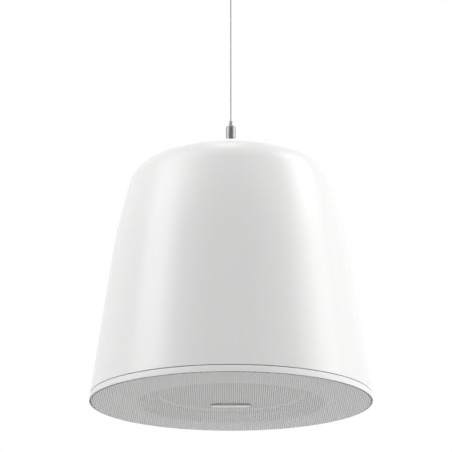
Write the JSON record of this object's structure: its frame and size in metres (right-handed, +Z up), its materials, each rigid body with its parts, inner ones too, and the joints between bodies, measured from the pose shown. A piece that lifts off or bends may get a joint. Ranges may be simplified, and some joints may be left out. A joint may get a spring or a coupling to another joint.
{
  "type": "pendant speaker",
  "caption": "Bell-shaped pendant loudspeaker with a perforated grille below, hung on a thin steel wire through a releasable wire gripper from a small ceiling fitting.",
  "frame": {"origin": "middle of the ceiling fitting's flat top face, which lies against the ceiling", "axes": "+Z up, along the suspension wire and the bell's own axis; the badge on the grille runs along X, and the cable gland is on the +Y side"},
  "size_m": [0.3, 0.3, 0.4925],
  "materials": {
    "white_plastic": "satin white moulded plastic",
    "white_enamel": "matt white powder coat",
    "black_plastic": "matt black moulding",
    "nickel": "bright nickel plate",
    "zinc_steel": "zinc-plated steel",
    "wire_steel": "stranded steel wire rope",
    "dark_rubber": "black rubber or foam",
    "grey_rubber": "grey rubber roll",
    "coated_paper": "pale grey coated paper pulp",
    "spider_cloth": "resin-dipped cloth",
    "ferrite": "sintered ferrite",
    "grey_felt": "needled felt",
    "copper": "enamelled copper winding",
    "board_green": "glass-fibre circuit board",
    "capacitor_film": "wrapped film capacitor",
    "resistor_ceramic": "white ceramic case",
    "dome_silk": "coated silk dome"
  },
  "bodies": {
    "ceiling": {"ceiling_base": "nickel", "ceiling_cap": "nickel"},
    "wire": {"wire_ball": "zinc_steel", "suspension_wire": "wire_steel"},
    "speaker": {"housing_shell": "white_plastic", "bezel_ring": "white_plastic", "grille": "white_enamel", "badge_plate": "nickel", "grille_magnet_1": "nickel", "grille_magnet_2": "nickel", "grille_magnet_3": "nickel", "grille_magnet_4": "nickel", "baffle": "white_plastic", "baffle_gasket": "dark_rubber", "baffle_screw_1": "zinc_steel", "baffle_screw_2": "zinc_steel", "baffle_screw_3": "zinc_steel", "baffle_screw_4": "zinc_steel", "baffle_screw_5": "zinc_steel", "baffle_screw_6": "zinc_steel", "port_tube": "white_plastic", "woofer_gasket": "dark_rubber", "woofer_frame": "white_enamel", "woofer_screw_1": "zinc_steel", "woofer_screw_2": "zinc_steel", "woofer_screw_3": "zinc_steel", "woofer_screw_4": "zinc_steel", "surround": "grey_rubber", "spider": "spider_cloth", "top_plate": "zinc_steel", "ring_magnet": "ferrite", "back_plate": "zinc_steel", "tweeter_post": "zinc_steel", "tweeter_cup": "black_plastic", "tweeter_dome": "dome_silk", "circuit_tray": "black_plastic", "crossover_board": "board_green", "crossover_inductor": "copper", "crossover_capacitor": "capacitor_film", "crossover_resistor": "resistor_ceramic", "transformer_core": "zinc_steel", "transformer_bobbin": "copper", "gripper_base": "nickel", "gripper_barrel": "nickel", "gripper_spring": "zinc_steel", "load_plate": "zinc_steel", "stud_washer": "zinc_steel", "stud_nut": "zinc_steel", "cable_gland": "black_plastic", "gland_nut": "black_plastic", "terminal_block": "white_enamel", "input_lead": "dark_rubber", "acoustic_lining": "grey_felt"},
    "nipple": {"release_nipple": "nickel", "grip_ball_1": "zinc_steel", "grip_ball_2": "zinc_steel", "grip_ball_3": "zinc_steel"},
    "cone": {"woofer_cone": "coated_paper", "voice_coil": "copper"}
  },
  "joints": [
    {"name": "wire_swivel", "type": "hinge", "parent": "ceiling", "child": "wire", "pos_m": [0, 0, 0], "axis": [0, 0, 1], "continuous": true},
    {"name": "height_adjust", "type": "slide", "parent": "wire", "child": "speaker", "axis": [0, 0, 1], "range_m": [0, 0.08]},
    {"name": "nipple_press", "type": "slide", "parent": "speaker", "child": "nipple", "axis": [0, 0, -1], "range_m": [0, 0.002], "stiffness_N_per_m": 400, "springref_m": -0.001, "deforming": ["gripper_spring"]},
    {"name": "cone_travel", "type": "slide", "parent": "speaker", "child": "cone", "axis": [0, 0, -1], "range_m": [-0.0035, 0.0035], "stiffness_N_per_m": 1500, "deforming": ["surround", "spider"]}
  ]
}
